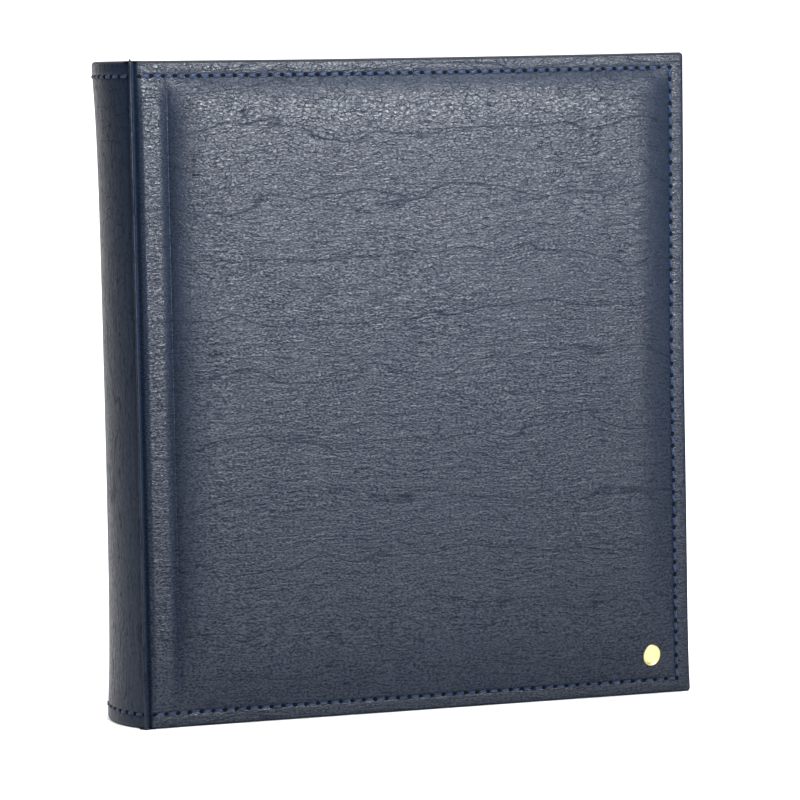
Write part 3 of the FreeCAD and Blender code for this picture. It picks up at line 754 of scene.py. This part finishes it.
def build_gusset(which):
    """The strip of book cloth that lines one hinge inside, from the spine's edge onto the cover."""
    side = SIDES[which]
    spine_edge = SPINE_HALF_ARC - 4.6 * MM
    start, corner = spine_to_space(side * np.array([spine_edge - 3 * MM, spine_edge + 0.6 * MM]),
                                   np.zeros(2), np.array([-3.55 * MM, -3.6 * MM]))
    cover_edge = CREASE_X + 4.3 * MM
    reach = 18.3 * MM if which == "front" else 6.8 * MM
    route = [start[:2], corner[:2]]
    route += [np.array([corner[0] + (cover_edge - corner[0]) * t,
                        side * ((abs(corner[1]) * (1 - t) + (LINING_Y - 0.12 * MM) * t)
                                + 0.5 * MM * math.sin(math.pi * t))]) for t in (0.2, 0.4, 0.6, 0.8, 1.0)]
    route.append(np.array([CREASE_X + reach, side * (LINING_Y - 0.12 * MM)]))
    thick = 0.3 * MM
    z_lines = steps((1.5 * MM, 4 * MM), (HEIGHT - 1.5 * MM, 1))
    vertices = []
    for z in z_lines:
        vertices.extend((x, y, z) for x, y in route)
        for place, (x, y) in reversed(list(enumerate(route))):
            lean = side if place > 1 else side * 0.7
            vertices.append((x - (thick * 0.7 if place <= 1 else 0), y + lean * thick * 0.4, z))
    width = 2 * len(route)
    faces = tube_faces(len(z_lines), width) + tube_caps(len(z_lines), width)
    made = weld(mesh_object(f"{which}_hinge_cloth", vertices, faces, [finish_of("book_cloth")],
                            smooth=False))
    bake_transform(made)


# --- stitching

def stitch_tree():
    """Instances one two-ply stitch on each stitch point and one needle hole on each hole point."""
    tree = bpy.data.node_groups.new("album_stitches", "GeometryNodeTree")
    for kind, sockets in (("Geometry", ("Points",)), ("Float", ("Length", "Thread", "Hole", "Slant")),
                          ("Material", ("Thread finish", "Hole finish"))):
        for socket in sockets:
            tree.interface.new_socket(socket, in_out="INPUT", socket_type="NodeSocket" + kind)
    tree.interface.new_socket("Stitches", in_out="OUTPUT", socket_type="NodeSocketGeometry")
    given = tree.nodes.new("NodeGroupInput").outputs

    def attribute(name, kind="FLOAT_VECTOR"):
        return add(tree, "GeometryNodeInputNamedAttribute", {"Name": name}, data_type=kind).outputs[0]

    aligned = add(tree, "FunctionNodeAlignRotationToVector", {"Vector": attribute("out")}, axis="Z")
    turned = add(tree, "FunctionNodeAlignRotationToVector",
                 {"Rotation": aligned.outputs[0], "Vector": attribute("along")}, axis="X", pivot_axis="Z")

    ball = add(tree, "GeometryNodeMeshUVSphere", {"Segments": 8, "Rings": 6, "Radius": 0.5})
    ply_size = add(tree, "ShaderNodeCombineXYZ", {"X": given["Length"], "Z": given["Thread"],
                                                  "Y": product(tree, given["Thread"], 0.62)})
    plies = []
    for turn in (1, -1):
        place = add(tree, "ShaderNodeCombineXYZ", {"Y": product(tree, given["Thread"], 0.2 * turn)})
        lean = add(tree, "ShaderNodeMath", {0: given["Slant"], 1: 0.05 * turn}, operation="ADD")
        angle = add(tree, "ShaderNodeCombineXYZ", {"Z": lean.outputs[0]})
        plies.append(add(tree, "GeometryNodeTransform",
                         {"Geometry": ball.outputs["Mesh"], "Translation": place.outputs[0],
                          "Rotation": angle.outputs[0], "Scale": ply_size.outputs[0]}))
    stitch = add(tree, "GeometryNodeJoinGeometry")
    for ply in plies:
        tree.links.new(ply.outputs[0], stitch.inputs[0])
    hole_size = add(tree, "ShaderNodeCombineXYZ", {"X": given["Hole"], "Z": 0.3 * MM,
                                                   "Y": product(tree, given["Hole"], 0.85)})
    hole = add(tree, "GeometryNodeTransform", {"Geometry": ball.outputs["Mesh"],
                                               "Scale": hole_size.outputs[0]})
    shown = []
    for wanted, shape, finish in ((0.0, stitch, "Thread finish"), (1.0, hole, "Hole finish")):
        chosen = add(tree, "FunctionNodeCompare", {"A": attribute("hole", "FLOAT"), "B": wanted,
                                                       "Epsilon": 0.1},
                     operation="EQUAL")
        placed = add(tree, "GeometryNodeInstanceOnPoints",
                     {"Points": given["Points"], "Selection": chosen.outputs[0],
                      "Instance": shape.outputs[0], "Rotation": turned.outputs[0]})
        real = add(tree, "GeometryNodeRealizeInstances", {"Geometry": placed.outputs[0]})
        smooth = add(tree, "GeometryNodeSetShadeSmooth", {"Geometry": real.outputs[0]})
        shown.append(add(tree, "GeometryNodeSetMaterial",
                         {"Geometry": smooth.outputs[0], "Material": given[finish]}))
    joined = add(tree, "GeometryNodeJoinGeometry")
    for branch in shown:
        tree.links.new(branch.outputs[0], joined.inputs[0])
    result = tree.nodes.new("NodeGroupOutput")
    tree.links.new(joined.outputs[0], result.inputs[0])
    return tree


def sew(name, rows, body, node):
    """Sew rows of stitches. Each row is (start, end, at), with at(distance) giving place, way and normal."""
    seam = bpy.context.scene.album_stitching
    places, along, out, hole = [], [], [], []
    for start, end, at in rows:
        count = max(1, round((end - start) / seam.pitch))
        pitch = (end - start) / count
        for number in range(2 * count + 1):
            place, tangent, normal = at(start + number * pitch / 2)
            is_stitch = number % 2
            lift = 0.02 * MM if is_stitch else 0.08 * MM
            places.append(place + normal * lift)
            along.append(tangent)
            out.append(normal)
            hole.append(0.0 if is_stitch else 1.0)
    made = mesh_object(name, places, [], [])
    for field, values in (("along", along), ("out", out)):
        attribute = made.data.attributes.new(field, "FLOAT_VECTOR", "POINT")
        attribute.data.foreach_set("vector", np.array([tuple(v) for v in values]).ravel())
    attribute = made.data.attributes.new("hole", "FLOAT", "POINT")
    attribute.data.foreach_set("value", hole)
    tree = bpy.data.node_groups.get("album_stitches") or stitch_tree()
    modifier = made.modifiers.new("stitches", "NODES")
    modifier.node_group = tree
    values = {"Length": seam.pitch - 0.6 * seam.hole, "Thread": seam.thread, "Hole": seam.hole,
              "Slant": math.radians(7), "Thread finish": finish_of("polyester_thread"),
              "Hole finish": finish_of("needle_hole")}
    for item in tree.interface.items_tree:
        if item.item_type == "SOCKET" and item.name in values:
            modifier[item.identifier] = values[item.name]
    bake_modifiers(made)
    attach(made, body)
    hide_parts(node)


def build_stitching():
    scene = bpy.context.scene
    settings = scene.album_leather
    seam = scene.album_stitching
    first = 2.6 * MM
    last_u = COVER_WIDTH - seam.inset
    for which, side in SIDES.items():
        normal = Vector((0, side, 0))

        def on_cover(u, v):
            w = float(cover_height(settings, seam, np.array(u), np.array(v))) + 0.12 * MM
            return Vector(cover_place(which, np.array(u), np.array(v), w))

        across, upward = Vector((1, 0, 0)), Vector((0, 0, 1))
        rows = (
            (first, last_u, lambda d: (on_cover(d, HEIGHT - seam.inset), across, normal)),
            (seam.inset, HEIGHT - seam.inset, lambda d: (on_cover(last_u, d), upward, normal)),
            (first, last_u, lambda d: (on_cover(d, seam.inset), across, normal)),
        )
        sew(f"{which}_stitches", rows, COVER_BODY[which], f"{which}_thread")

    def on_spine(s, v):
        w = spine_height(settings, seam, np.array([s]), np.array([v])) + 0.1 * MM
        place = Vector(spine_to_space(np.array([s]), np.array([v]), w)[0])
        normal = Vector((place.x - SPINE_AXIS_X, place.y, 0)).normalized()
        return place, Vector((-normal.y, normal.x, 0)), normal

    reach = SPINE_HALF_ARC - 2 * MM
    rows = [(-reach, reach, lambda d, v=v: on_spine(d, v)) for v in (seam.inset, HEIGHT - seam.inset)]
    sew("spine_stitches", rows, "spine", "spine_thread")


# --- badge

def build_badge():
    """A plain gilt oval: a domed plate with a raised rim."""
    scene = bpy.context.scene
    low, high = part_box("badge")
    centre = (low + high) / 2
    wide = (high.x - low.x) / 2
    tall = (high.z - low.z) / 2

    def leather(u, v):
        return float(cover_height(scene.album_leather, scene.album_stitching, np.array(u), np.array(v)))

    u, v = centre.x - CREASE_X, centre.z
    step = 1 * MM
    lean_u = (leather(u + step, v) - leather(u - step, v)) / (2 * step)
    lean_v = (leather(u, v + step) - leather(u, v - step)) / (2 * step)
    seat = leather(u, v) - 0.15 * MM
    rounds = 48
    # Rings from the wall in to the middle: share of the oval, height above the leather
    profile = ((0.97, 0.0), (1.0, 0.15), (1.0, 0.75), (0.96, 0.97), (0.9, 1.05), (0.85, 0.97), (0.82, 0.8),
               (0.6, 0.86), (0.3, 0.92), (0.0, 0.94))
    thickness = 1.0 * MM
    vertices = []
    for share, rise in profile:
        for number in range(rounds):
            angle = 2 * math.pi * number / rounds
            du = wide * share * math.cos(angle)
            dv = tall * share * math.sin(angle)
            lift = seat + thickness * rise + du * lean_u + dv * lean_v
            vertices.append((centre.x + du, -HALF - lift, centre.z + dv))
    faces = tube_faces(len(profile), rounds) + [tuple(range(rounds))]
    made = weld(mesh_object("gilt_badge", vertices, faces, [finish_of("gilt_brass")]))
    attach(made, "front_cover")
    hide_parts("badge")


# --- ring mechanism

def refined(node, finish, edge_round):
    """A copy of a pressed or turned part with its edges rounded, in place of the plain one."""
    body = frame["nodes"][node]["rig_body"]
    source = frame["nodes"][node].data.copy()
    source.materials.clear()
    source.materials.append(finish_of(finish))
    made = bpy.data.objects.new(node + "_finished", source)
    bpy.context.scene.collection.objects.link(made)
    work = bmesh.new()
    work.from_mesh(source)
    bmesh.ops.remove_doubles(work, verts=work.verts, dist=0.001 * MM)
    bmesh.ops.dissolve_limit(work, angle_limit=math.radians(1), verts=work.verts, edges=work.edges)
    for face in work.faces:
        face.smooth = True
    work.to_mesh(source)
    work.free()
    bevel = made.modifiers.new("rounded edges", "BEVEL")
    bevel.width = edge_round
    bevel.segments = 2
    bevel.limit_method = "ANGLE"
    bevel.angle_limit = math.radians(40)
    bevel.harden_normals = True
    bake_modifiers(made)
    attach(made, body)
    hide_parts(node)
    return made


def build_mechanism():
    metal = bpy.context.scene.album_metal
    sheet = ("ring_shell", "shell_rivets", "lever_pins", "fore_leaf", "spine_leaf", "upper_lever",
             "lower_lever")
    wire = ("fore_half_rings", "spine_half_rings")
    for nodes, finish, slot in ((sheet, "plated_sheet", "nickel_steel"),
                                (wire, "plated_wire", "nickel_wire")):
        for node in nodes:
            refined(node, finish, metal.edge_round)


# --- pages

def pocket_page_mesh(low, high):
    """One welded pocket page, worked out in millimetres: films that swell between weld lines."""
    pages = bpy.context.scene.album_pages
    wide = (high.x - low.x) / MM
    tall = (high.z - low.z) / MM
    strip = 18.0
    weld_half = 0.9
    cell_wide = (wide - strip - 1.2) / pages.columns
    cell_tall = (tall - 2.0) / pages.rows
    slot_x = (4.2, 14.8)
    slot_half = 2.5
    slot_round = 1.2
    corner = 3.0
    strip_half = 0.2
    rim_half = 0.12

    def rim(size):
        return {0, 1, 2, corner, size - corner, size - 2, size - 1, size}

    x_marks = rim(wide) | {slot_x[0], slot_x[0] + slot_round, slot_x[1] - slot_round, slot_x[1],
                           strip - weld_half}
    for column in range(pages.columns):
        left = strip + column * cell_wide
        x_marks.update((left + weld_half, left + 3, left + 7, left + cell_wide / 2, left + cell_wide - 7,
                        left + cell_wide - 3, left + cell_wide - weld_half))
    z_marks = rim(tall)
    for offset in RING_OFFSETS:
        middle = tall / 2 + offset / MM
        z_marks.update((middle - slot_half, middle - slot_half + slot_round,
                        middle + slot_half - slot_round, middle + slot_half))
    slit = 6.0
    for row in range(pages.rows):
        foot = 1.0 + row * cell_tall
        z_marks.update((foot + weld_half, foot + 3, foot + 7, foot + cell_tall / 2,
                        foot + cell_tall - slit - 0.5, foot + cell_tall - slit, foot + cell_tall - 3,
                        foot + cell_tall - weld_half))
    x_lines = sorted(x_marks)
    z_lines = sorted(z_marks)

    def swell(distance, length):
        return min(1.0, max(0.0, distance / length)) ** 0.5

    def thickness(x, z):
        """Half the page's thickness: the punched strip, the welded rim, or a pocket."""
        if x <= strip - weld_half:
            return strip_half
        if x > wide - 1.2 or z < 1.0 or z > tall - 1.0:
            return rim_half
        in_x = (x - strip) % cell_wide
        in_z = (z - 1.0) % cell_tall
        edge_x = min(in_x, cell_wide - in_x) - weld_half
        edge_z = min(in_z, cell_tall - in_z) - weld_half
        full = rim_half + 0.22 * swell(edge_x, 5) * swell(edge_z, 5)
        if in_z > cell_tall - slit - 0.01:
            full = rim_half + (full - rim_half) * 0.35
        return full

    def rounded(x, z):
        for middle_x, sign_x in ((corner, -1), (wide - corner, 1)):
            for middle_z, sign_z in ((corner, -1), (tall - corner, 1)):
                a = (x - middle_x) * sign_x / corner
                b = (z - middle_z) * sign_z / corner
                if a > 0 and b > 0:
                    return (middle_x + sign_x * corner * a * math.sqrt(1 - b * b / 2),
                            middle_z + sign_z * corner * b * math.sqrt(1 - a * a / 2))
        return x, z

    middle_y = (low.y + high.y) / 2
    rows = len(z_lines)
    half = len(x_lines) * rows
    front, back = [], []
    for x in x_lines:
        for z in z_lines:
            flat_x, flat_z = rounded(x, z)
            rise = thickness(x, z)
            front.append((low.x + flat_x * MM, middle_y - rise * MM, low.z + flat_z * MM))
            back.append((low.x + flat_x * MM, middle_y + min(rise, strip_half) * MM, low.z + flat_z * MM))
    slots = [(tall / 2 + offset / MM - slot_half, tall / 2 + offset / MM + slot_half)
             for offset in RING_OFFSETS]
    faces = []
    finishes = []
    for i in range(len(x_lines) - 1):
        for j in range(rows - 1):
            x_mid = (x_lines[i] + x_lines[i + 1]) / 2
            z_mid = (z_lines[j] + z_lines[j + 1]) / 2
            cell = (i * rows + j, (i + 1) * rows + j, (i + 1) * rows + j + 1, i * rows + j + 1)
            through = [s for s in slots if slot_x[0] < x_mid < slot_x[1] and s[0] < z_mid < s[1]]
            if through:
                left = x_mid < slot_x[0] + slot_round
                under = z_mid < through[0][0] + slot_round
                at_x = left or x_mid > slot_x[1] - slot_round
                at_z = under or z_mid > through[0][1] - slot_round
                if not (at_x and at_z):
                    continue
                # Keep the outer triangle, so that the slot's corner is cut off
                drop = {(True, True): 2, (False, True): 3, (False, False): 0, (True, False): 1}[(left, under)]
                cell = tuple(v for number, v in enumerate(cell) if number != drop)
            in_x = (x_mid - strip) % cell_wide
            in_z = (z_mid - 1.0) % cell_tall
            welded = x_mid < strip or min(in_x, cell_wide - in_x) < weld_half
            welded = welded or min(in_z, cell_tall - in_z) < weld_half or z_mid < 1.0 or z_mid > tall - 1
            faces.append(cell)
            finishes.append(1 if welded else 0)
    edges = dict.fromkeys(pair for face in faces for pair in zip(face, face[1:] + face[:1]))
    walls = [(b, a, a + half, b + half) for a, b in edges if (b, a) not in edges]
    backs = [tuple(v + half for v in reversed(face)) for face in faces]
    return front + back, faces + backs + walls, finishes + finishes + [1] * len(walls)


def build_pages():
    for node in sorted(frame["nodes"]):
        if node.startswith("pocket_page"):
            vertices, faces, finishes = pocket_page_mesh(*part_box(node))
            films = [finish_of("glossy_film"), finish_of("welded_film")]
            made = mesh_object(node + "_film", vertices, faces, films, finishes, smooth=False)
            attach(made, frame["nodes"][node]["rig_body"])
            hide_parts(node)


def paint_plain_parts():
    """Finishes for the frame's own pieces that keep their shape."""
    for node, part in frame["nodes"].items():
        finish = None
        if node.endswith("_lining"):
            finish = "book_cloth"
        elif node.endswith("_board"):
            finish = "pressed_greyboard"
        elif node.startswith("interleaf"):
            finish = "uncoated_card"
        if finish:
            part.data.materials.clear()
            part.data.materials.append(finish_of(finish))


# --- stage

def soft_light(name, place, target, width, height, power, spread=180):
    lamp = bpy.data.lights.new(name, "AREA")
    lamp.shape = "RECTANGLE"
    lamp.size = width
    lamp.size_y = height
    lamp.energy = power
    lamp.spread = math.radians(spread)
    made = bpy.data.objects.new(name, lamp)
    made.location = place
    made.rotation_euler = (Vector(target) - Vector(place)).to_track_quat("-Z", "Y").to_euler()
    bpy.context.scene.collection.objects.link(made)


def build_stage():
    scene = bpy.context.scene
    stage = scene.album_stage
    # A sheet of white paper: flat under the album, curved up behind it
    bend = 0.8
    bend_from = 1.6
    profile = [(-2.5, 0.0), (bend_from, 0.0)]
    profile += [(bend_from + bend * math.sin(a), bend - bend * math.cos(a))
                for a in (math.pi / 2 * number / 12 for number in range(1, 13))]
    profile.append((bend_from + bend, 3.2))
    vertices = [(x, y, z) for y, z in profile for x in (-3.0, 3.0)]
    faces = [(2 * row, 2 * row + 1, 2 * row + 3, 2 * row + 2) for row in range(len(profile) - 1)]
    paper, tree, shader, _ = new_material("white_paper")
    dress(tree, shader, base=(0.86, 0.86, 0.86, 1), rough=0.9, shine=0.1)
    # The paper lies on a light table, which lifts the shadow at the foot
    shader.inputs["Emission Color"].default_value = (1, 1, 1, 1)
    shader.inputs["Emission Strength"].default_value = 0.22
    mesh_object("paper", vertices, faces, [paper])

    world = bpy.data.worlds.new("white_studio")
    world.use_nodes = True
    scene.world = world
    back = world.node_tree.nodes["Background"]
    back.inputs["Color"].default_value = (1, 1, 1, 1)
    back.inputs["Strength"].default_value = 0.07

    soft_light("front_box", (0.2, -1.0, 0.47), (0, 0, 0.24), 0.5, 0.28, 1.8, spread=38)
    soft_light("head_box", (0.05, -0.2, 1.2), (0, 0, 0.2), 0.5, 0.2, 1.2, spread=60)
    soft_light("backdrop_box", (0.0, 0.9, 1.9), (0.3, 2.1, 0), 3.4, 1.0, 68)
    soft_light("floor_box", (0.0, 0.28, 1.3), (0, 0.1, 0), 1.8, 0.8, 10.5)
    scene.view_settings.view_transform = "Standard"

    sight = Vector((math.sin(stage.turn) * math.cos(stage.tilt), math.cos(stage.turn) * math.cos(stage.tilt),
                    -math.sin(stage.tilt)))
    level = Vector((math.cos(stage.turn), -math.sin(stage.turn), 0))
    upright = level.cross(sight)
    right = math.cos(stage.roll) * level + math.sin(stage.roll) * upright
    up = -math.sin(stage.roll) * level + math.cos(stage.roll) * upright
    centre = Vector((CREASE_X + COVER_WIDTH / 2, 0, MIDDLE_Z))
    place = centre - sight * stage.distance - right * 0.9 * MM - up * 7.7 * MM
    lens = bpy.data.cameras.new("camera")
    lens.lens = stage.lens
    lens.sensor_width = 36
    lens.clip_end = 50
    camera = bpy.data.objects.new("camera", lens)
    camera.matrix_world = Matrix((
        (right.x, up.x, -sight.x, place.x),
        (right.y, up.y, -sight.y, place.y),
        (right.z, up.z, -sight.z, place.z),
        (0, 0, 0, 1),
    ))
    scene.collection.objects.link(camera)
    scene.camera = camera


# --- operators and panel

class Step:
    """What each operator shares: it makes its pieces, and finishes."""

    def execute(self, context):
        self.make()
        return {"FINISHED"}


class ALBUM_OT_covers(Step, bpy.types.Operator):
    """Make the two padded leather covers"""
    bl_idname = "album.covers"
    bl_label = "Covers"

    def make(self):
        for which in SIDES:
            build_cover(which)


class ALBUM_OT_spine(Step, bpy.types.Operator):
    """Make the rounded spine, its two folds and the cloth that lines the hinges"""
    bl_idname = "album.spine"
    bl_label = "Spine"

    def make(self):
        build_spine()
        for which in SIDES:
            build_fold(which)
            build_gusset(which)


class ALBUM_OT_stitching(Step, bpy.types.Operator):
    """Sew the seams round the covers and across the spine"""
    bl_idname = "album.stitching"
    bl_label = "Stitching"

    def make(self):
        build_stitching()


class ALBUM_OT_badge(Step, bpy.types.Operator):
    """Make the plain gilt badge"""
    bl_idname = "album.badge"
    bl_label = "Badge"

    def make(self):
        build_badge()


class ALBUM_OT_mechanism(Step, bpy.types.Operator):
    """Finish the ring mechanism"""
    bl_idname = "album.mechanism"
    bl_label = "Ring mechanism"

    def make(self):
        build_mechanism()


class ALBUM_OT_pages(Step, bpy.types.Operator):
    """Make the pocket pages and paint the cards, linings and boards"""
    bl_idname = "album.pages"
    bl_label = "Pages and linings"

    def make(self):
        build_pages()
        paint_plain_parts()


class ALBUM_OT_stage(Step, bpy.types.Operator):
    """Set the floor, the lights and the camera"""
    bl_idname = "album.stage"
    bl_label = "Stage"

    def make(self):
        build_stage()


OPERATORS = (ALBUM_OT_covers, ALBUM_OT_spine, ALBUM_OT_stitching, ALBUM_OT_badge, ALBUM_OT_mechanism,
             ALBUM_OT_pages, ALBUM_OT_stage)


class ALBUM_PT_panel(bpy.types.Panel):
    """The album's steps and settings"""
    bl_idname = "ALBUM_PT_panel"
    bl_label = "Coin album"
    bl_space_type = "VIEW_3D"
    bl_region_type = "UI"
    bl_category = "Album"

    def draw(self, context):
        for operator in OPERATORS:
            self.layout.operator(operator.bl_idname)
        for field in SETTINGS:
            group = getattr(context.scene, field)
            box = self.layout.box()
            for prop in group.bl_rna.properties:
                if prop.identifier not in ("rna_type", "name"):
                    box.prop(group, prop.identifier)


def register():
    for group in SETTINGS.values():
        bpy.utils.register_class(group)
    for field, group in SETTINGS.items():
        setattr(bpy.types.Scene, field, bpy.props.PointerProperty(type=group))
    for operator in OPERATORS:
        bpy.utils.register_class(operator)
    bpy.utils.register_class(ALBUM_PT_panel)


def unregister():
    bpy.utils.unregister_class(ALBUM_PT_panel)
    for operator in reversed(OPERATORS):
        bpy.utils.unregister_class(operator)
    for field, group in reversed(SETTINGS.items()):
        delattr(bpy.types.Scene, field)
        bpy.utils.unregister_class(group)


def main():
    register()
    for operator in OPERATORS:
        getattr(bpy.ops.album, operator.bl_idname.split(".")[1])()
    bpy.context.view_layer.update()


if __name__ == "__main__":
    main()
